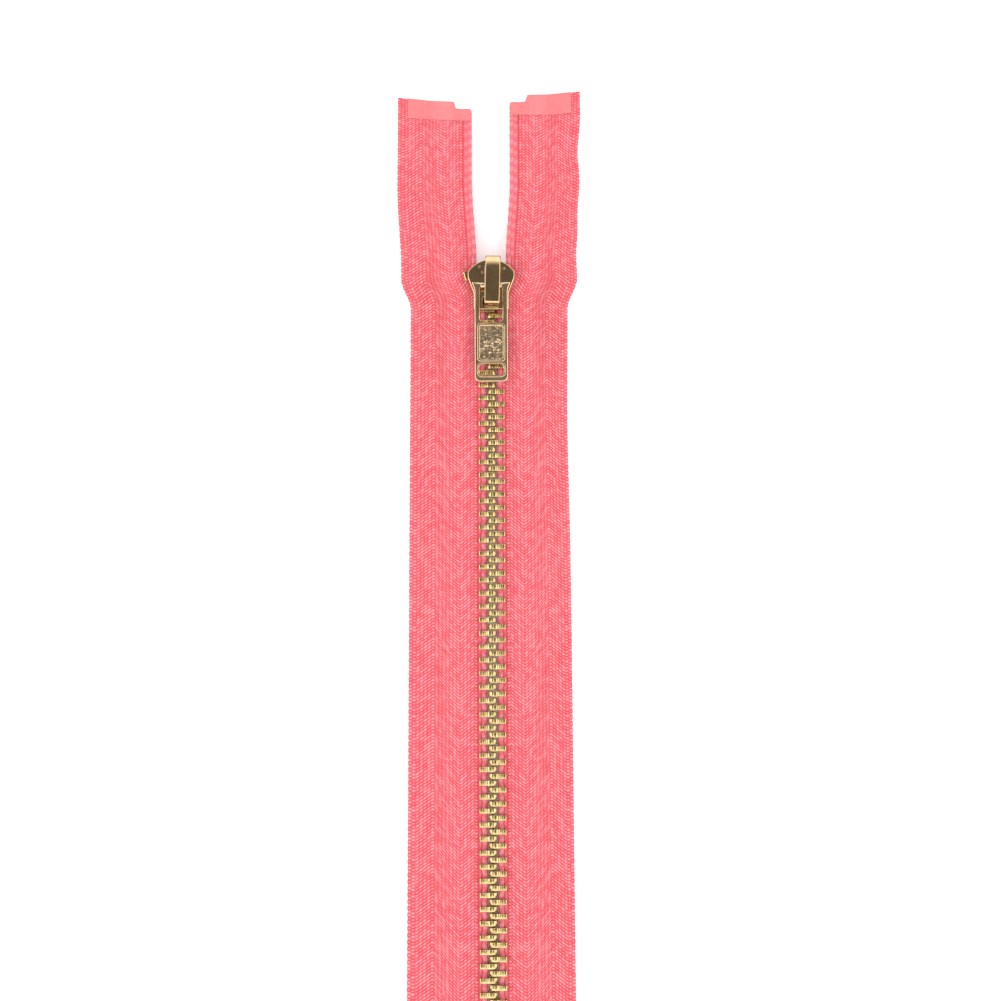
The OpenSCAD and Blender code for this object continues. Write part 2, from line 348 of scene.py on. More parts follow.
# %% Mesh helpers
def add_piece(name, mesh, material, side=1):
    """Links a mesh made in millimetres as a piece, mirrored for the left side."""
    mesh.transform(Matrix.Diagonal((side * MM, MM, MM, 1)))
    if side < 0:
        mesh.flip_normals()
    mesh.name = name
    mesh.materials.clear()
    mesh.materials.append(material)
    mesh.shade_smooth()
    piece = bpy.data.objects.new(name, mesh)
    scene.collection.objects.link(piece)
    print(name, len(mesh.polygons), "faces")
    return piece


def slab(front, back, coordinates):
    """A closed mesh between two grids of points, with the cloth's own coordinates as its UV map."""
    rows = front.shape[0] * front.shape[1]
    at = np.arange(rows).reshape(front.shape[:2])
    corners = [at[:-1, :-1], at[1:, :-1], at[1:, 1:], at[:-1, 1:]]
    quads = np.stack(corners, -1).reshape(-1, 4)
    ring = np.concatenate([at[:-1, 0], at[-1, :-1], at[:0:-1, -1], at[0, :0:-1]])
    after = np.roll(ring, -1)
    rim = np.stack([ring, ring + rows, after + rows, after], -1)
    faces = np.concatenate([quads, quads[:, ::-1] + rows, rim])
    points = np.concatenate([front.reshape(-1, 3), back.reshape(-1, 3)])
    mesh = bpy.data.meshes.new("slab")
    mesh.from_pydata(points.tolist(), [], faces.tolist())
    put_coordinates(mesh, np.tile(coordinates.reshape(-1, 2), (2, 1)))
    return mesh


def put_coordinates(mesh, coordinates):
    corner = np.empty(len(mesh.loops), int)
    mesh.loops.foreach_get("vertex_index", corner)
    layer = mesh.uv_layers.new(name="cloth")
    layer.data.foreach_set("uv", coordinates[corner].astype(np.float32).ravel())


def tube(rings, coordinates):
    """A closed mesh through rings of points, each ring a row of the array."""
    count, sides = rings.shape[:2]
    at = np.arange(count * sides).reshape(count, sides)
    turned = np.roll(at, -1, axis=1)
    quads = np.stack([at[:-1], turned[:-1], turned[1:], at[1:]], -1).reshape(-1, 4).tolist()
    ends = [at[0][::-1].tolist(), at[-1].tolist()]
    mesh = bpy.data.meshes.new("tube")
    mesh.from_pydata(rings.reshape(-1, 3).tolist(), [], quads + ends)
    put_coordinates(mesh, coordinates.reshape(-1, 2))
    return mesh


# %% Plates with rounded edges
def evaluated(obj):
    """The mesh of an object with its modifiers applied; the object itself goes."""
    ready = obj.evaluated_get(bpy.context.evaluated_depsgraph_get())
    mesh = bpy.data.meshes.new_from_object(ready)
    bpy.data.objects.remove(obj)
    return mesh


def plate(loops, low, high, edge, steps=3):
    """A flat mesh between two heights: the first loop is its outline, and the others are holes."""
    curve = bpy.data.curves.new("plan", "CURVE")
    curve.dimensions = "2D"
    curve.fill_mode = "BOTH"
    curve.extrude = (high - low) / 2 - edge
    curve.bevel_depth = edge
    curve.bevel_resolution = steps
    curve.offset = -edge
    for loop in loops:
        spline = curve.splines.new("POLY")
        spline.points.add(len(loop) - 1)
        flat = [c for x, y in loop for c in (x, y, 0, 1)]
        spline.points.foreach_set("co", flat)
        spline.use_cyclic_u = True
    obj = bpy.data.objects.new("plan", curve)
    scene.collection.objects.link(obj)
    mesh = evaluated(obj)
    mesh.transform(Matrix.Translation((0, 0, (low + high) / 2)))
    return mesh


def joined(meshes, weld=0.002):
    """One mesh from several, with the seams that the curves leave closed."""
    whole = bmesh.new()
    for mesh in meshes:
        whole.from_mesh(mesh)
    bmesh.ops.remove_doubles(whole, verts=whole.verts, dist=weld)
    bmesh.ops.recalc_face_normals(whole, faces=whole.faces)
    result = bpy.data.meshes.new("joined")
    whole.to_mesh(result)
    whole.free()
    return result


def arc(cx, cy, radius, start, end, steps=8):
    angles = np.radians(np.linspace(start, end, steps + 1))
    return [(cx + radius * math.cos(a), cy + radius * math.sin(a)) for a in angles]


def round_rect(low_x, low_y, high_x, high_y, r, steps=8):
    points = arc(high_x - r, high_y - r, r, 0, 90, steps)
    points += arc(low_x + r, high_y - r, r, 90, 180, steps)
    points += arc(low_x + r, low_y + r, r, 180, 270, steps)
    points += arc(high_x - r, low_y + r, r, 270, 360, steps)
    return points


def crisp(piece):
    """Flat faces keep flat shading next to rounded edges."""
    modifier = piece.modifiers.new("flat_faces", "WEIGHTED_NORMAL")
    modifier.keep_sharp = True
    return piece


# From a plan's axes to the object's: drawn on (Y, Z) and thick along X, or on (X, Z) and thick along Y
SIDE_VIEW = Matrix(((0, 0, 1, 0), (1, 0, 0, 0), (0, 1, 0, 0), (0, 0, 0, 1)))
END_VIEW = Matrix(((1, 0, 0, 0), (0, 0, -1, 0), (0, 1, 0, 0), (0, 0, 0, 1)))

# %% [markdown]
# ## The cloth's finish
# The tape is a herringbone twill: each warp end floats over two picks, and the floats step up or down
# from end to end, so that slanted ribs turn round at each change of direction. The pattern is a plain
# grid of floats in the cloth's own coordinates; the slant comes from the mesh, whose rows follow the
# ribs. The colour is painted pale where the floats crown, as painted highlight, and a deep red in the
# gaps between them, as painted shade. The cord's skin has a smoother paint of its own, also with
# painted highlight on its lumps.

# %% Cloth finish
END_W = 0.7025
PICK = 0.62
STRIP_W = 1.25
SELVEDGE_W = 1.5
GROOVE_AT = 0.62
WRAP = 1.95
# The pale end of these colours is painted highlight on the crowns of floats and lumps; the deep end is
# painted shade in the gaps and the groove.
CORAL_DEEP = (0.655, 0.07, 0.09)
CORAL = (0.68, 0.145, 0.17)
CORAL_PALE = (0.71, 0.31, 0.335)
CLOTH_ROUGH = 0.75
CLOTH_SHEEN = 0.12


def in_groove(across):
    """1 in the groove between the tape's rolled edge and its first floats, where the colour is darkened
    as painted shade.
    """
    return (1 - (across - GROOVE_AT).math("ABSOLUTE") / 0.28).clamped()


def twill_paint():
    """The tape: floats in a grid, a smooth rolled edge, and a deep groove beside it, with painted
    highlight on the crowns and painted shade in the gaps.
    """
    paint = new_paint("coral_twill")
    place = paint.node("ShaderNodeUVMap", {"uv_map": "cloth"})
    across = paint.node("ShaderNodeSeparateXYZ", None, {0: place}, output=0)
    along = paint.node("ShaderNodeSeparateXYZ", None, {0: place}, output=1)
    end = across / END_W
    odd = (end.math("FLOOR") / 2).math("FRACT").above(0.25)
    plain = across.below(STRIP_W).math("MAXIMUM", across.above(TAPE_W - SELVEDGE_W))
    pick = along / PICK + odd * plain * 0.5
    slub = paint.noise(place, 0.9, 3.0)
    fibre = paint.noise(place, 9.0, 2.0)
    cell = paint.node("ShaderNodeCombineXYZ", None, {0: end.math("FLOOR"), 1: pick.math("FLOOR")})
    stitch = paint.node("ShaderNodeTexWhiteNoise", {"noise_dimensions": "2D"}, {"Vector": cell})
    rolled = across.below(GROOVE_AT - 0.15)
    float_crown = (end.ridge() * 0.6 + 0.4) * pick.ridge() * (1 - rolled)
    float_crown = float_crown + rolled * ((along / WRAP).ridge() * 0.25 + 0.3)
    height = float_crown + (fibre - 0.5) * 0.3
    uneven = (slub - 0.5) * 0.3 + (stitch - 0.5) * 0.35 * (1 - rolled)
    # Colour: painted highlight on the float crowns, painted shade in the gaps and the groove, and the
    # cloth's own uneven tone from slub and stitches.
    tone_and_painted_light = height + uneven - in_groove(across) * 0.35
    stops = [(0.0, CORAL_DEEP), (0.16, CORAL_DEEP), (0.42, CORAL), (0.82, CORAL_PALE), (1.0, CORAL_PALE)]
    colour = paint.ramp(tone_and_painted_light.clamped(), stops)
    normal = paint.bump(height, 0.10, 0.8)
    inputs = {"Base Color": colour, "Roughness": CLOTH_ROUGH, "Normal": normal}
    inputs["Specular IOR Level"] = CLOTH_SHEEN
    return paint.surface(inputs)


TAPE_CLOTH = twill_paint()


def cord_paint():
    """The cord's skin: soft lumps that wind round it, and fine fibre; lumps and threads are painted
    lighter as painted highlight, and the hollows between them darker as painted shade.
    """
    paint = new_paint("coral_cord")
    place = paint.node("ShaderNodeUVMap", {"uv_map": "cloth"})
    round_it = paint.node("ShaderNodeSeparateXYZ", None, {0: place}, output=0)
    along = paint.node("ShaderNodeSeparateXYZ", None, {0: place}, output=1)
    turn = round_it / (2 * math.pi * CORD_R)
    lump = (along / WRAP + turn + 0.5).ridge()
    thread = (along * 3 / WRAP - turn).ridge()
    fibre = paint.noise(place, 7.0, 3.0)
    # Lumps and threads in the colour are painted highlight and shade; the fibre noise is the cord's own
    # uneven tone.
    tone_and_painted_light = (lump * 0.4 + thread * 0.2 + fibre * 0.6 - 0.1).clamped()
    stops = [(0.0, CORAL_DEEP), (0.4, CORAL), (0.95, CORAL_PALE), (1.0, CORAL_PALE)]
    inputs = {"Base Color": paint.ramp(tone_and_painted_light, stops), "Roughness": CLOTH_ROUGH}
    inputs["Specular IOR Level"] = CLOTH_SHEEN
    inputs["Normal"] = paint.bump(thread * 0.5 + fibre, 0.05, 0.6)
    return paint.surface(inputs)


CORD_CLOTH = cord_paint()

# %% [markdown]
# ## Tapes
# A cloth simulation would settle this tape flat and change almost nothing, because it is stiff and
# pulled straight by the chain. So the cloth is woven directly: a grid with one row of points on each
# float's crown and one in each gap, lifted a few hundredths of a millimetre. The rows are sheared
# into the herringbone, the edge is scalloped where the picks turn round, and the right-hand tape
# ripples along its outer edge above the slider.

# %% Tapes
RELIEF = 0.07
# Each stretch across the tape, by where it ends, and how steeply its ribs climb
SLANTS = [(STRIP_W, 0.0), (4.2, -0.75), (6.4, 0.78), (9.3, 1.15)]
SLANTS += [(TAPE_W - SELVEDGE_W, -0.68), (TAPE_W, 0.0)]
SLANT_FADE = 5.5
SCALLOP = 0.07
LAID_W = {"left": 14.35, "right": 13.5}
TOP_CUT = {"left": 1.45, "right": 0.25}
CUT_SLANT = {"left": 0.12, "right": 0.1}
CUT_STEP = 1.4
CUT_STEP_FROM = 2.1
CUT_STEP_TO = 2.6
CUT_LIFT = 0.33
CUT_FADE = 9
REACH = 0.1
REACH_ABOVE = 0.3
ROLL_RISE = 0.31


def slant(across):
    """How far each row has been sheared along the tape, at a distance across it."""
    total = np.zeros_like(across)
    start = 0.0
    for end, slope in SLANTS:
        total += slope * np.clip(across - start, 0, end - start)
        start = end
    return total


def top_drop(side, across):
    """How much lower than the highest corner the top end is cut."""
    stepped = CUT_STEP * (1 - ease((across - CUT_STEP_FROM) / (CUT_STEP_TO - CUT_STEP_FROM)))
    raised = CUT_LIFT * (tape_z(TAPE_IN + across) - TAPE_HALF_T)
    return TOP_CUT[side] + CUT_SLANT[side] * (TAPE_W - across) + stepped + raised


def ripple(side, across, y):
    """Lift of the loose outer edge above the slider."""
    if side == "left":
        return 0.12 * ease((across - 9) / 5) * (1 + np.sin(y / 11)) / 2
    loose = ease((y - 72) / 10) * ease((across - 6.5) / 7)
    return loose * (0.5 + 0.5 * np.sin(y / 1.95 + 0.4) * ease((y - 80) / 12))


def rolled_edge(across, y):
    """How far the tape's inner edge reaches over the cord, and how far it lifts above the slider."""
    above = ease((y - Y_SLIDER + 1) / 3)
    reach = (REACH + REACH_ABOVE * above) * (1 - ease(across / 0.4))
    rise = ROLL_RISE * above * (1 - ease((across - 0.33) / 0.3))
    return reach, rise


def cut_rows(side, across, y):
    """Rows of cloth near the top end follow the slanted cut."""
    return y - top_drop(side, across) * ease((y - Y_TOP + CUT_FADE) / CUT_FADE)


def lay(side, across, y, lift):
    """Where a point of the cloth lies, from its distance across the tape and its height up it."""
    outer = ease((across - 5) / 9)
    x = TAPE_IN + across * (1 + (LAID_W[side] / TAPE_W - 1) * outer) + step_at(y + 1.2 * outer)
    wave = 0.12 * np.sin(y / 17 + across / 5) * outer
    if side == "right":
        x = x + outer * ease((y - 78) / 8) * (0.12 * np.sin(y / 1.95 + 1.2) - 0.35)
        x = x + 0.6 * outer * ease((y - 106) / 12) - 0.35 * outer * np.exp(-(((y - 47) / 18) ** 2))
    z = tape_z(TAPE_IN + across) + lift + ripple(side, across, y) + np.abs(wave) * outer
    return np.stack([x, y, z], -1)


def weave_grid():
    ends = np.arange(int(round(2 * TAPE_W / END_W)) + 1)
    picks = np.arange(int(round(2 * (Y_TOP - Y_LOW) / PICK)) + 1)
    across = ends * TAPE_W / ends[-1]
    along = picks * (Y_TOP - Y_LOW) / picks[-1]
    return ends, picks, *np.meshgrid(across, along, indexing="ij")


def make_tape(side):
    ends, picks, across, along = weave_grid()
    y = Y_LOW + along
    fade = ease(along / SLANT_FADE) * ease((Y_TOP - y) / SLANT_FADE)
    sheared = y + slant(across) * fade
    crown_u = (ends % 2)[:, None]
    plain = (across < STRIP_W) | (across > TAPE_W - SELVEDGE_W)
    shift = np.where(plain, (ends // 2 % 2)[:, None], 0)
    crown_v = (picks[None, :] + shift) % 2
    relief = RELIEF * (0.15 * crown_u + 0.45 * crown_v + 0.4 * crown_u * crown_v)
    groove = 0.12 * np.exp(-(((across - GROOVE_AT) / 0.15) ** 2))
    selvedge = TAPE_W - SELVEDGE_W
    past = across - selvedge
    groove = groove + 0.05 * ease(past / 0.2) * (1 - ease((past - 0.2) / 0.5))
    edge = ease((across - TAPE_W + 0.5) / 0.5)
    reach, rise = rolled_edge(across, y)
    scalloped = across + edge * SCALLOP * np.cos(math.pi * along / PICK) - reach
    half = TAPE_HALF_T - RELIEF - groove - 0.08 * edge
    sheared = cut_rows(side, scalloped, sheared)
    front = lay(side, scalloped, sheared, half + relief + rise)
    back = lay(side, scalloped, sheared, -half - relief)
    mesh = slab(front, back, np.stack([across, along], -1))
    name = side + "_tape"
    tape = add_piece(name + "_cloth", mesh, TAPE_CLOTH, SIDES[side])
    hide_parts(name)
    return tape


def pivot(joint):
    """Where a hinge of the frame turns, in millimetres."""
    found = next(j for j in frame["record"]["behaviour"]["joints"] if j["name"] == joint)
    return Vector(found["pos_m"]) / MM


def bend(piece):
    """Bakes the piece's placement into its mesh; the piece rides on no moving body."""
    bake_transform(piece)
    return piece


tapes = {side: make_tape(side) for side in SIDES}

# %% [markdown]
# ## Edge cords
# A cord is woven into the inner edge of each tape, and the teeth and pins clamp round it. It shows
# above the slider as a rounded lip beside a groove, whose darkness is painted shade on the tape. A tube
# does it, with its skin pinched by the picks that wrap round it.

# %% Edge cords
CORD_SIDES = 14


def make_cord(side):
    count = int(10 * (Y_TOP - Y_LOW) / WRAP)
    along = np.linspace(0, Y_TOP - Y_LOW, count + 1)
    turn = np.linspace(0, 2 * math.pi, CORD_SIDES, endpoint=False)
    y = Y_LOW + along
    y = cut_rows(side, 0.0, y)
    pinch = np.cos(2 * math.pi * along[:, None] / WRAP + turn[None, :])
    twill = np.cos(2 * math.pi * along[:, None] / (WRAP / 3) - turn[None, :])
    radius = CORD_R - 0.065 + 0.045 * pinch + 0.015 * twill
    x = CORD_X + step_at(y)[:, None] + radius * np.cos(turn)[None, :]
    z = MID_Z + radius * np.sin(turn)[None, :]
    # The points run clockwise seen from above the lower end, so that the faces look outwards
    rings = np.stack([x, np.broadcast_to(y[:, None], x.shape), z], -1)[:, ::-1]
    coordinates = np.stack(np.broadcast_arrays(turn[None, :] * CORD_R, along[:, None]), -1)[:, ::-1]
    cord = add_piece(side + "_edge_cord_cloth", tube(rings, coordinates), CORD_CLOTH, SIDES[side])
    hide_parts(side + "_edge_cord")
    return cord


cords = {side: make_cord(side) for side in SIDES}

# %% [markdown]
# ## Films
# The ends of the tapes are stiffened with a thin plastic film, bonded on hot and pressed with fine
# ribs. It is paler than the cloth, smoother, and a little glossy. A film is a second slab over the
# tape's own shape; the one at the top end has a straight lower edge and follows the cut above.

# %% Films
FILM_GAP = 0.02
FILM_T = 0.10
FILM_INSET = 2.0
RIB = 0.42
FOOT_SLANT = {"left": 0.06, "right": 0.0}
FOOT_LIFT = 0.45
FILM_LOW = {"left": 1.7, "right": 1.25}
CORD_SHARE = -0.45
CORD_CLEAR = 0.03


def film_paint():
    paint = new_paint("pressed_film")
    place = paint.node("ShaderNodeUVMap", {"uv_map": "cloth"})
    across = paint.node("ShaderNodeSeparateXYZ", None, {0: place}, output=0)
    along = paint.node("ShaderNodeSeparateXYZ", None, {0: place}, output=1)
    inner = across.below(CUT_STEP_TO)
    rib = (across / RIB).ridge() * (1 - inner) + (along / RIB).ridge() * inner
    cloudy = paint.noise(place, 0.8, 4.0)
    speck = paint.noise(place, 6.0, 2.0)
    # The ribs are painted lighter on their crowns and darker between them, as painted highlight and
    # shade; the cloudy and speck noise is the film's own uneven tone.
    tone_and_painted_light = (rib * 0.35 + cloudy * 0.5 + speck * 0.3 - 0.1).clamped()
    stops = [(0.0, (0.66, 0.125, 0.135)), (0.5, (0.69, 0.18, 0.185)), (1.0, (0.72, 0.24, 0.235))]
    colour = paint.ramp(tone_and_painted_light, stops)
    normal = paint.bump(rib + speck * 0.4, 0.05, 0.7)
    inputs = {"Base Color": colour, "Roughness": 0.45, "Specular IOR Level": 0.25, "Normal": normal}
    return paint.surface(inputs)


FILM_PLASTIC = film_paint()


def film_foot(side, across):
    """How much lower a top film's lower edge is than at the tape's outer edge."""
    return FOOT_SLANT[side] * (TAPE_W - across) + FOOT_LIFT * (tape_z(TAPE_IN + across) - TAPE_HALF_T)


def make_film(side, end, low, high, inner):
    across = np.linspace(inner, TAPE_W - FILM_INSET, int((TAPE_W - FILM_INSET - inner) / RIB * 4) + 1)
    part = np.linspace(0, 1, int((high - low) / 0.2) + 1)
    across, part = np.meshgrid(across, part, indexing="ij")
    reach, rise = rolled_edge(across, np.full_like(across, high))
    cut = top_drop(side, across - reach) if end == "top" else 0
    foot = low - film_foot(side, across) if end == "top" else low
    along = foot + (high - cut - foot) * part
    ribs = 0.5 + 0.5 * np.cos(2 * math.pi * across / RIB) * ease((across - CUT_STEP_TO) / 0.4)
    base = TAPE_HALF_T + FILM_GAP + CORD_CLEAR * (across < 0)
    front = lay(side, across - reach, along, base + rise + FILM_T - 0.03 * ribs)
    back = lay(side, across - reach, along, base + rise)
    mesh = slab(front, back, np.stack([across, along - Y_LOW], -1))
    name = side + "_" + end + "_film"
    film = add_piece(name + "_sheet", mesh, FILM_PLASTIC, SIDES[side])
    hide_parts(name)
    return film


TOP_FILM_H = box_mm("left_top_film")[1][1] - box_mm("left_top_film")[0][1]
END_FILM_H = box_mm("left_end_film")[1][1] - box_mm("left_end_film")[0][1]
END_FILM_IN = SLOPE_FROM - TAPE_IN
top_films = {}
end_films = {}
for side in SIDES:
    foot = Y_TOP - TOP_FILM_H - FILM_LOW[side]
    top_films[side] = make_film(side, "top", foot, Y_TOP, CORD_SHARE)
for side in SIDES:
    end_films[side] = make_film(side, "end", Y_LOW, Y_LOW + END_FILM_H, END_FILM_IN)

# %% [markdown]
# ## Metal finishes
# Brass and gold plate are the same shader with other colours: fully metallic, smooth, and never quite
# even. Slow noise moves the colour and the gloss as handling does, and fast noise gives the faint
# pitting of pressed metal. The teeth also get thin dark veins, painted where a middling noise passes
# through its mean.

# %% Metal finishes
VEIN_DARKNESS = 0.3


def metal_paint(name, colour, dull, gloss, pitting, attribute=None, scale=600, vein_strength=0.0):
    paint = new_paint(name)
    if attribute:
        place = paint.node("ShaderNodeAttribute", {"attribute_name": attribute}, output=1)
        scale = scale * MM
    else:
        place = paint.node("ShaderNodeTexCoord", output=3)
    patina = paint.noise(place, scale, 3.0)
    pits = paint.noise(place, scale * 8, 2.0)
    worn = (patina * 1.6 - 0.3).clamped()
    # Thin dark lines are painted into the colour where this noise passes through its mean.
    veins = paint.noise(place, scale * 3, 1.0)
    vein_line = (1 - (veins - 0.5).math("ABSOLUTE") * 22).clamped()
    base = paint.mix(vein_line * vein_strength, paint.mix(worn, dull, colour), [c * VEIN_DARKNESS for c in dull])
    roughness = gloss + (patina - 0.5) * 0.12 + (pits - 0.5) * 0.06
    normal = paint.bump(pits, pitting)
    inputs = {"Base Color": base, "Metallic": 1.0, "Roughness": roughness, "Normal": normal}
    return paint.surface(inputs)


BRASS = metal_paint(
    "coined_brass", (0.72, 0.54, 0.24), (0.42, 0.33, 0.14), 0.22, 0.02, "stamp", scale=900, vein_strength=0.8
)
PIN_BRASS = metal_paint("pin_brass", (0.83, 0.62, 0.27), (0.50, 0.38, 0.16), 0.26, 0.01)
GOLD = metal_paint("gold_plate", (0.60, 0.41, 0.22), (0.46, 0.31, 0.165), 0.17, 0.008)
PULL_GOLD = metal_paint("pull_plate", (0.70, 0.52, 0.32), (0.56, 0.41, 0.25), 0.27, 0.02)
STEEL = metal_paint("spring_steel", (0.62, 0.60, 0.57), (0.40, 0.38, 0.36), 0.34, 0.01)

# %% [markdown]
# ## Teeth
# Each tooth is pressed from brass wire: a head that reaches past the middle of the chain, and two
# legs squeezed round the cord. One tooth is drawn from the side, given thickness and softened edges,
# and given its peg; copies are then set along the edge and turned with it. The tools that squeeze the
# legs leave cross dents in their tops.

# %% One tooth
PITCH = 2.6
TOOTH_T = 0.95
CHAIN_W = 2.6
TOOTH_TOP = 1.2
SLOT_HALF = TAPE_HALF_T + 0.07
SEAT_R = CORD_R + 0.08
FIRST_TOOTH = Y_SLIDER - 4.9
RUNS = 4
PEG_R = 0.22
PEG_H = 0.45


def tooth_side():
    """The tooth's side view: over the top from the leg's end to the head, and back under the slot."""
    top = [
        (CHAIN_W, SLOT_HALF + 0.05), (CHAIN_W, 0.98), (2.5, 1.11), (2.36, 1.14), (2.14, 1.15),
        (2.06, 1.1), (1.98, 1.1), (1.9, 1.16), (1.68, 1.16), (1.6, 1.1), (1.52, 1.1), (1.44, 1.17),
        (1.26, 1.17), (1.16, 1.05), (1.02, 1.0), (0.9, 1.05), (0.72, 1.16), (0.50, TOOTH_TOP),
        (0.28, 1.17), (0.10, 1.08), (-0.04, 1.06), (-0.2, 1.05), (-0.3, 0.98), (-0.78, 0.50),
        (-0.85, 0.38), (-0.85, 0.2),
    ]
    bottom = [(x, -z) for x, z in reversed(top)]
    start = math.degrees(math.asin(SLOT_HALF / SEAT_R))
    seat = [(CORD_X + x, z) for x, z in arc(0, 0, SEAT_R, 360 - start, start, 12)]
    return top + bottom + seat


def thick_side(points, thickness, edge):
    """A side view given thickness along Y, with its edges softened by a Bevel modifier."""
    shape = bmesh.new()
    corners = [shape.verts.new((x, -thickness / 2, z)) for x, z in points]
    cap = shape.faces.new(corners)
    moved = bmesh.ops.extrude_face_region(shape, geom=[cap])["geom"]
    bmesh.ops.translate(
        shape, vec=(0, thickness, 0), verts=[v for v in moved if isinstance(v, bmesh.types.BMVert)]
    )
    bmesh.ops.recalc_face_normals(shape, faces=shape.faces)
    mesh = bpy.data.meshes.new("side")
    shape.to_mesh(mesh)
    shape.free()
    obj = bpy.data.objects.new("side", mesh)
    scene.collection.objects.link(obj)
    bevel = obj.modifiers.new("soft_edges", "BEVEL")
    bevel.width = edge
    bevel.segments = 2
    bevel.limit_method = "ANGLE"
    bevel.angle_limit = math.radians(50)
    return evaluated(obj)


def peg():
    """The peg on a tooth's head that enters the dimple of the next one."""
    rise = [(PEG_R, -0.1), (PEG_R, PEG_H - 0.12), (PEG_R * 0.75, PEG_H - 0.03), (PEG_R * 0.3, PEG_H)]
    turn = np.linspace(0, 2 * math.pi, 10, endpoint=False)
    rings = [[(r * math.cos(a), TOOTH_T / 2 + y, -r * math.sin(a)) for a in turn] for r, y in rise]
    rings = np.array(rings)
    return tube(rings, np.zeros((*rings.shape[:2], 2)))


TOOTH = joined([thick_side(tooth_side(), TOOTH_T, 0.07), peg()], 0.0005)
print("one tooth:", len(TOOTH.polygons), "faces")

# %% Rows of teeth
def mesh_arrays(mesh):
    points = np.empty(len(mesh.vertices) * 3)
    mesh.vertices.foreach_get("co", points)
    return points.reshape(-1, 3), [list(p.vertices) for p in mesh.polygons]


def seated(points, y):
    """Points drawn at the centre line, moved to height y of the right-hand edge and turned with it."""
    lean = math.atan2(step_at(y + 0.1) - step_at(y - 0.1), 0.2)
    x = points[:, 0] - CORD_X
    turned_x = x * math.cos(lean) + points[:, 1] * math.sin(lean)
    turned_y = points[:, 1] * math.cos(lean) - x * math.sin(lean)
    return np.stack([turned_x + CORD_X + step_at(y), turned_y + y, points[:, 2] + MID_Z], -1)


def copies(mesh, heights):
    """One mesh with a copy at each height, and an attribute that holds each copy's own place."""
    points, faces = mesh_arrays(mesh)
    placed = []
    stamps = []
    all_faces = []
    rng = np.random.default_rng(7)
    for i, y in enumerate(heights):
        nudge = rng.normal(0, 0.012, 3)
        placed.append(seated(points + nudge, y))
        stamps.append(points + (0, 9.7 * y, 0))
        all_faces += [[v + i * len(points) for v in face] for face in faces]
    result = bpy.data.meshes.new("copies")
    result.from_pydata(np.concatenate(placed).tolist(), [], all_faces)
    stamp = result.attributes.new("stamp", "FLOAT_VECTOR", "POINT")
    stamp.data.foreach_set("vector", np.concatenate(stamps).astype(np.float32).ravel())
    return result


def make_teeth(side):
    pin_top = box_mm("box_pin")[1][1]
    count = int((FIRST_TOOTH - pin_top - TOOTH_T / 2 - 0.4) // PITCH) + 1
    run_len = math.ceil(count / RUNS)
    start = FIRST_TOOTH
    if side == "right":
        start -= PITCH / 2
        count -= 1
    for run in range(RUNS):
        numbers = range(run * run_len, min(count, (run + 1) * run_len))
        name = f"{side}_teeth_{run + 1}"
        mesh = copies(TOOTH, [start - n * PITCH for n in numbers])
        teeth = crisp(add_piece(name + "_brass", mesh, BRASS, SIDES[side]))
        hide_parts(name)
        if run == RUNS - 1:
            bend(teeth)
        else:
            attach(teeth, side + "_stringer")


for side in SIDES:
    make_teeth(side)

# %% [markdown]
# ## Top stops
# A blunt clamp above the last tooth keeps the slider on. It is the same brass as the teeth, squeezed
# on in the same way.

# %% Top stops
STOP_Y = Y_SLIDER - 2.65
STOP_H = 1.9
STOP_REACH = {"left": 3.75, "right": 2.9}


def make_stop(side):
    reach = STOP_REACH[side]
    start = math.degrees(math.asin(SLOT_HALF / SEAT_R))
    seat = [(CORD_X + x, z) for x, z in arc(0, 0, SEAT_R, 360 - start, start, 12)]
    top = [(reach, SLOT_HALF + 0.05)] + arc(reach - 0.35, TOOTH_TOP - 0.35, 0.35, 0, 90, 4)
    top += arc(0.75 + 0.35, TOOTH_TOP - 0.35, 0.35, 90, 180, 4)
    bottom = [(x, -z) for x, z in reversed(top)]
    mesh = copies(thick_side(top + bottom + seat, STOP_H, 0.12), [STOP_Y])
    stop = crisp(add_piece(side + "_top_stop_brass", mesh, BRASS, SIDES[side]))
    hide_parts(side + "_top_stop")
    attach(stop, side + "_stringer")
    print(side, "top stop reaches", reach, "mm from the chain's middle")


for side in SIDES:
    make_stop(side)

# %% [markdown]
# ## Slider body
# Two plates, joined by a wedge-shaped neck at the nose and by flanges down the sides. They are drawn
# as plans with well-rounded edges, because the bright line round a polished plate is its rounding.

# %% Slider body
SHOULDER_W = 4.75
WAIST_W = 3.55
SHOULDER_LOW = 4
WAIST_FROM = 7
BODY_LEN = 10.5
NOSE_R = 5.6
PLATE_T = 0.9
SLIT_HALF = 0.65
RUN_CLEAR = 0.3
HEAD_OVER = 0.85


def body_plan():
    """The plate's right half from the nose down, then the left half back up."""
    corner = math.degrees(math.acos(SHOULDER_W / NOSE_R))
    nose = arc(0, -NOSE_R, NOSE_R, 90, corner, 20)
    right = nose + [(SHOULDER_W, -SHOULDER_LOW + 0.5), (SHOULDER_W - 0.04, -SHOULDER_LOW + 0.1)]
    right += [(SHOULDER_W - 0.16, -SHOULDER_LOW - 0.25), (WAIST_W + 0.1, -WAIST_FROM + 0.2)]
    right += [(WAIST_W + 0.02, -WAIST_FROM - 0.1), (WAIST_W, -WAIST_FROM - 0.5)]
    right += arc(WAIST_W - 0.5, -BODY_LEN + 0.5, 0.5, 0, -90, 6)
    left = [(-x, y) for x, y in reversed(right[1:])]
    return right + left


def moved(loop, dy):
    return [(x, y + dy) for x, y in loop]


def wall_at(y):
    return CHAIN_W + step_at(Y_SLIDER + y) + RUN_CLEAR


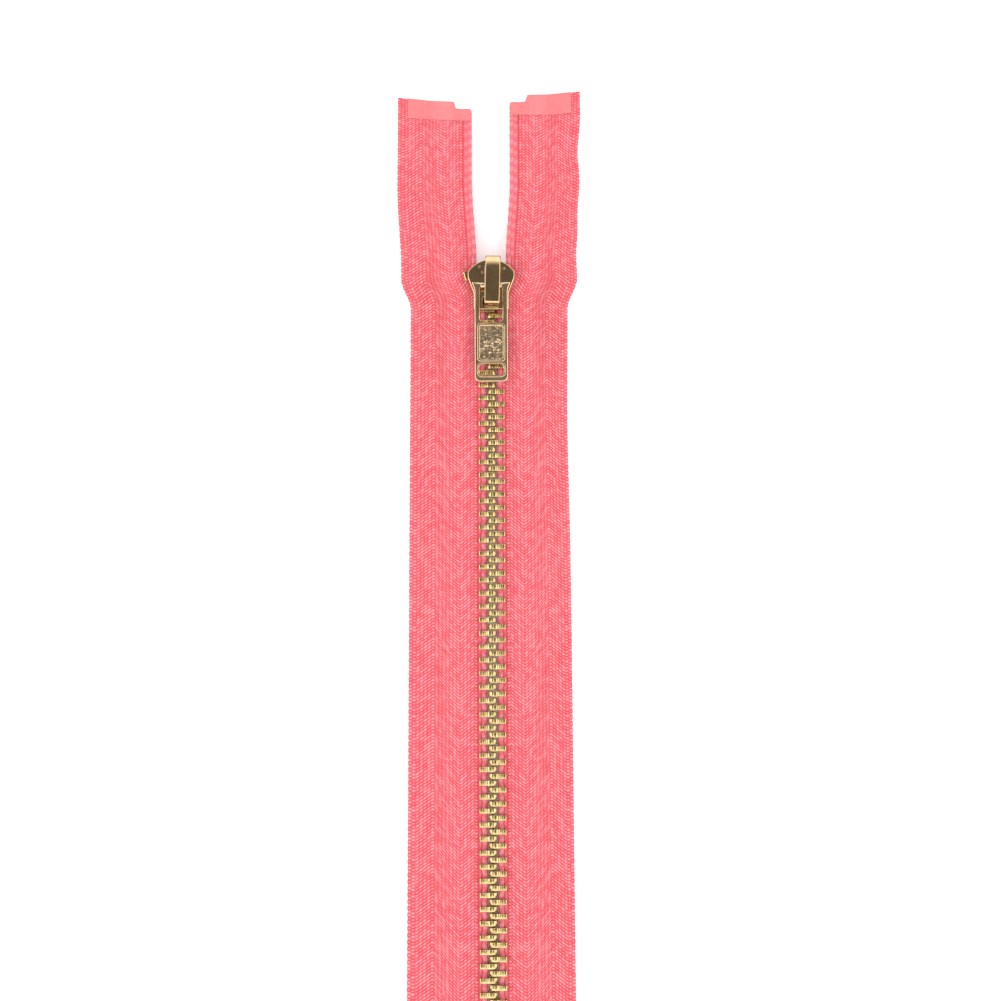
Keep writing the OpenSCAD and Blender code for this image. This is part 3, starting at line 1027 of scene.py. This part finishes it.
def flange_plan(side):
    heights = np.linspace(-SHOULDER_LOW - 0.1, -BODY_LEN + 0.05, 10)
    inner = [(side * wall_at(y), y) for y in heights]
    outer = [(side * (WAIST_W - 0.05), -BODY_LEN + 0.05), (side * (WAIST_W - 0.02), -WAIST_FROM)]
    outer += [(side * (SHOULDER_W - 0.12), -SHOULDER_LOW - 0.1)]
    return inner + outer


def neck_plan():
    heights = np.linspace(-4.4, -0.4, 9)
    right = [(max(0.12, step_at(Y_SLIDER + y) - HEAD_OVER - RUN_CLEAR), y) for y in heights]
    return right + [(-x, y) for x, y in reversed(right)]


STAMPS = [(-2.3, -1.6), (-1.75, -2.8), (2.6, -2.0)]
STAMP_R = 0.24
STAMP_RISE = 0.05


def dome_at(x, y, z, r, rise):
    """A low round bump, where the press has pinched the plate."""
    turn = np.linspace(0, 2 * math.pi, 16, endpoint=False)
    steps = [(1.0, -0.1), (1.0, 0.0), (0.85, 0.45), (0.55, 0.85), (0.2, 1.0)]
    rings = []
    for k, h in steps:
        rings.append([(x + r * k * math.cos(a), y + r * k * math.sin(a), z + rise * h) for a in turn])
    rings = np.array(rings)
    return tube(rings, np.zeros((*rings.shape[:2], 2)))


def make_body():
    plan = moved(body_plan(), Y_SLIDER)
    window = moved([(x, y + 0.2) for x, y in round_rect(-1.7, -9.8, -0.45, -8.2, 0.15, 3)], Y_SLIDER)
    parts = [
        plate([plan, window], BODY_TOP - PLATE_T, BODY_TOP, 0.28, 4),
        plate([plan], 0, PLATE_T, 0.28, 4),
        plate([moved(neck_plan(), Y_SLIDER)], PLATE_T / 2, BODY_TOP - PLATE_T / 2, 0.05, 1),
    ]
    for side in (-1, 1):
        flange = moved(flange_plan(side), Y_SLIDER)
        parts.append(plate([flange], MID_Z + SLIT_HALF, BODY_TOP - PLATE_T + 0.1, 0.08, 2))
        parts.append(plate([flange], PLATE_T - 0.1, MID_Z - SLIT_HALF, 0.08, 2))
    for x, y in STAMPS:
        parts.append(dome_at(x, Y_SLIDER + y, BODY_TOP, STAMP_R, STAMP_RISE))
    body = crisp(add_piece("slider_plates", joined(parts), GOLD))
    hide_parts("slider_body")
    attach(body, "slider")


make_body()

# %% [markdown]
# ## Crown
# The crown is the strap over the slider that the pull tab hangs from. From the side it rises over the
# nose in a long curve, runs flat and turns down sharply behind, and the long curve catches the light.

# %% Crown
CROWN_W = 3.0
CROWN_TOP = box_mm("slider_crown")[1][2]
CROWN_TURN = math.radians(-1.5)
CROWN_SHIFT = 0.3


def bow(cy, cz, ry, rz, start, end, steps=10):
    angles = np.radians(np.linspace(start, end, steps + 1))
    return [(cy + ry * math.cos(a), cz + rz * math.sin(a)) for a in angles]


def crown_side():
    front = 0.2
    rear = -BODY_LEN + 0.25
    base = BODY_TOP - 0.15
    outer = [(front, base)] + bow(front - 4.2, CROWN_TOP - 2.3, 4.2, 2.3, 10, 90, 16)
    outer += bow(rear + 0.55, CROWN_TOP - 0.6, 0.55, 0.6, 90, 180, 10) + [(rear, base)]
    inner = [(rear + 0.5, base)] + bow(rear + 1.2, CROWN_TOP - 1.35, 0.7, 0.7, 180, 90, 6)
    inner += bow(front - 4.2, CROWN_TOP - 2.3, 3.45, 1.65, 90, 12, 10) + [(front - 0.75, base)]
    return outer + inner


def make_crown():
    mesh = plate([crown_side()], -CROWN_W / 2, CROWN_W / 2, 0.22, 5)
    mesh.transform(SIDE_VIEW)
    middle = Matrix.Translation((0, -BODY_LEN / 2, 0))
    turn = Matrix.Rotation(CROWN_TURN, 4, "Z")
    mesh.transform(Matrix.Translation((CROWN_SHIFT, Y_SLIDER, 0)) @ middle @ turn @ middle.inverted())
    crown = crisp(add_piece("crown_strap", joined([mesh]), GOLD))
    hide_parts("slider_crown")
    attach(crown, "slider")


make_crown()

# %% [markdown]
# ## Lock pawl
# A small steel lever under the crown. Its prong drops between two teeth and holds the slider; swinging
# the pull tab over tips it up. Little of it shows, so it is a folded strip with a rolled middle.

# %% Lock pawl
def rod(radius, low, high, edge=0.08, sides=20):
    """A round bar along X with softened ends."""
    stations = [(low, radius - edge), (low + edge, radius), (high - edge, radius), (high, radius - edge)]
    turn = np.linspace(0, 2 * math.pi, sides, endpoint=False)
    rings = np.array([[(x, r * math.cos(a), r * math.sin(a)) for a in turn] for x, r in stations])
    return tube(rings, np.zeros((*rings.shape[:2], 2)))


STRIP_HALF_T = 0.17
ROLL_R = 0.24
ROCK_AT = pivot("lock_lift")


def make_pawl():
    low, high = box_mm("lock_pawl")
    strip_z = ROCK_AT[2]
    half = high[0] - 0.02
    rear = low[1] + 0.02
    strip_plan = round_rect(-half, rear, half, high[1] - 0.02, 0.4, 5)
    strip = plate([strip_plan], strip_z - STRIP_HALF_T, strip_z + STRIP_HALF_T, 0.06, 2)
    prong = plate([round_rect(-1.3, rear, -0.85, low[1] + 0.78, 0.1, 3)], low[2] + 0.02, strip_z, 0.05, 2)
    roll = rod(ROLL_R, -half, half)
    roll.transform(Matrix.Translation((0, ROCK_AT[1], strip_z)))
    pawl = crisp(add_piece("lock_lever", joined([strip, prong, roll]), STEEL))
    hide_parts("lock_pawl")
    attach(pawl, "lock")


make_pawl()

# %% [markdown]
# ## Pull tab
# Cast in one piece: a cross bar under the crown, two arms with flared tops, a panel with a raised rim
# round a crinkled field, and an open window at the end with its own bead. Each raised line is a plate
# with a hole, and the crinkle is a fine grid lifted by noise, so it is there in the mesh.

# %% Pull tab
PULL_AT = pivot("pull_swing")
PULL_LEAN = math.radians(3)
PULL_HALF = 3.3
ARM_IN = 2.25
PULL_LEN = 19.5
WINDOW_LOW = -7.5
PANEL = (2.76, -15.5, -7.8)
HOLE = (2.55, -18.35, -15.9)
PULL_TOP = 0.38
RIM_TOP = 0.6
RIM_FOOT = 0.25
BEAD = 0.32
FIELD_Z = 0.17
CRINKLE = 0.045


def pull_outline():
    """Right half from the flared top down to the middle of the end; the left half mirrors it."""
    outer = [(3.85, 0.58), (3.83, 0.35), (3.62, -0.1), (3.42, -0.55), (PULL_HALF, -1.1)]
    outer += arc(PULL_HALF - 1.1, -PULL_LEN + 1.1, 1.1, 0, -90, 8)
    return outer


def pull_inner():
    inner = [(1.62, 0.58), (1.66, 0.35), (1.95, -0.1), (2.18, -0.55), (ARM_IN, -1.1)]
    inner += arc(ARM_IN - 0.8, WINDOW_LOW + 0.8, 0.8, 0, -90, 6)
    return inner


def both_halves(half):
    return half + [(-x, y) for x, y in reversed(half)]


def field(half_x, low, high, z):
    """The crinkled field of the panel: a slab whose two faces are lifted by noise."""
    x = np.linspace(-half_x, half_x, 70)
    y = np.linspace(low, high, 92)
    x, y = np.meshgrid(x, y, indexing="ij")
    lift = np.zeros_like(x)
    rng = np.random.default_rng(11)
    for _ in range(60):
        angle, wave, phase = rng.uniform(0, math.pi), rng.uniform(7, 17), rng.uniform(0, 6.28)
        lift += np.sin(wave * (x * math.cos(angle) + y * math.sin(angle)) + phase)
    lift = CRINKLE * (1 - np.abs(lift) / 6)
    front = np.stack([x, y, z + lift], -1)
    back = np.stack([x, y, -z - lift], -1)
    return slab(front, back, np.stack([x, y], -1))


def frame_loops(half_x, low, high, width, r):
    outer = round_rect(-half_x, low, half_x, high, r)
    inner = round_rect(-half_x + width, low + width, half_x - width, high - width, r - width * 0.6)
    return [outer, inner]


def make_pull():
    outline = both_halves(pull_outline()) + both_halves(pull_inner())[::-1]
    hole = round_rect(-HOLE[0], HOLE[1], HOLE[0], HOLE[2], 0.75)
    half_x, low, high = PANEL
    recess = round_rect(-half_x + 0.3, low + 0.3, half_x - 0.3, high - 0.3, 0.35)
    parts = [plate([outline, hole, recess], -PULL_TOP, PULL_TOP, 0.2, 4)]
    for face in (1, -1):
        levels = sorted((face * RIM_FOOT, face * RIM_TOP))
        parts.append(plate(frame_loops(half_x, low, high, 0.46, 0.62), *levels, 0.15, 3))
        bead = frame_loops(HOLE[0] + BEAD, HOLE[1] - BEAD, HOLE[2] + BEAD, 0.34, 1.0)
        parts.append(plate(bead, *levels, 0.11, 3))
    parts.append(field(half_x - 0.2, low + 0.2, high - 0.2, FIELD_Z))
    parts.append(rod(0.5, -2.1, 2.1, 0.1))
    turn = Matrix.Translation(PULL_AT) @ Matrix.Rotation(PULL_LEAN, 4, "X")
    mesh = joined(parts, 0.0008)
    mesh.transform(turn)
    pull = crisp(add_piece("pull_tab_casting", mesh, PULL_GOLD))
    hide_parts("pull_tab")
    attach(pull, "pull")


make_pull()

# %% [markdown]
# ## Box and pins
# At the lower end the left tape carries a pin that is fixed in the box, and the right one a pin that
# slides into it. The box is a small pressed shell in two halves that meet at its floor.

# %% Box and pins
PIN_HALF = 0.875
BOX_HALF = 3.9
BOX_LOW_Z = 0.4
CAVITY_HALF = PIN_HALF + 0.15


def make_pin(node, side):
    low, high = box_mm(node)
    start = math.degrees(math.asin(SLOT_HALF / SEAT_R))
    seat = [(CORD_X + x, z) for x, z in arc(0, 0, SEAT_R, 360 - start, start, 12)]
    outer = [(CHAIN_W, SLOT_HALF + 0.03)] + arc(CHAIN_W - 0.3, PIN_HALF - 0.3, 0.3, 0, 90, 4)
    outer += arc(0.35 + 0.3, PIN_HALF - 0.3, 0.3, 90, 180, 4)
    loop = outer + [(x, -z) for x, z in reversed(outer)] + seat
    mesh = thick_side(loop, high[1] - low[1], 0.06)
    mesh.transform(Matrix.Translation((0, (low[1] + high[1]) / 2, MID_Z)))
    pin = crisp(add_piece(node + "_brass", mesh, PIN_BRASS, side))
    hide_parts(node)
    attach(pin, "retainer")


def box_half(face):
    slit = SLIT_HALF + 0.02
    top = MID_Z - BOX_LOW_Z
    outer = [(-BOX_HALF, slit)] + arc(-BOX_HALF + 0.9, top - 0.9, 0.9, 180, 90, 8)
    outer += arc(BOX_HALF - 0.9, top - 0.9, 0.9, 90, 0, 8) + [(BOX_HALF, slit)]
    inner = [(CHAIN_W + 0.15, slit), (CHAIN_W + 0.15, CAVITY_HALF)]
    inner += [(-CHAIN_W - 0.1, CAVITY_HALF), (-CHAIN_W - 0.1, slit)]
    return [(x, face * z) for x, z in outer + inner]


def make_box():
    low, high = box_mm("retainer_box")
    parts = []
    for face in (1, -1):
        shell = plate([box_half(face)], -high[1], -low[1], 0.1, 3)
        shell.transform(END_VIEW)
        shell.transform(Matrix.Translation((0, 0, MID_Z)))
        parts.append(shell)
        for y in (low[1] + 2.2, high[1] - 1.6):
            rib = plate([round_rect(-3.1, y - 0.3, 3.1, y + 0.3, 0.29, 5)], 0, 0.34, 0.14, 3)
            rib.transform(Matrix.Translation((0, 0, MID_Z + face * (MID_Z - BOX_LOW_Z) - 0.17)))
            parts.append(rib)
    stub = round_rect(-0.75, low[1] + 0.1, 0.75, low[1] + 1.1, 0.2, 3)
    parts.append(plate([stub], MID_Z - 1.2, MID_Z + 1.2, 0.05, 1))
    box = crisp(add_piece("retainer_box_shell", joined(parts, 0.0008), GOLD))
    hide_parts("retainer_box")
    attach(box, "retainer")


make_pin("box_pin", -1)
make_pin("insertion_pin", 1)
make_box()

# %% [markdown]
# ## Joining the pieces to the moving bodies
# The stringers swing apart at the lower end when the slider is down. The top films ride whole on
# their stringers; the tapes, cords and end films only have their placement baked into their meshes.

# %% Ride and bake
for side in SIDES:
    bend(tapes[side])
    bend(cords[side])
    bend(end_films[side])
    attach(top_films[side], side + "_stringer")

# %% [markdown]
# ## Sizes and finish
# The visual model has to stay in the space of the measured one, so both boxes are written down.

# %% Sizes and finish
bpy.context.view_layer.update()
sizes = {"cad": cad_box, "visual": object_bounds()}
sizes = {name: [[float(c) for c in corner] for corner in box] for name, box in sizes.items()}
print(sizes)
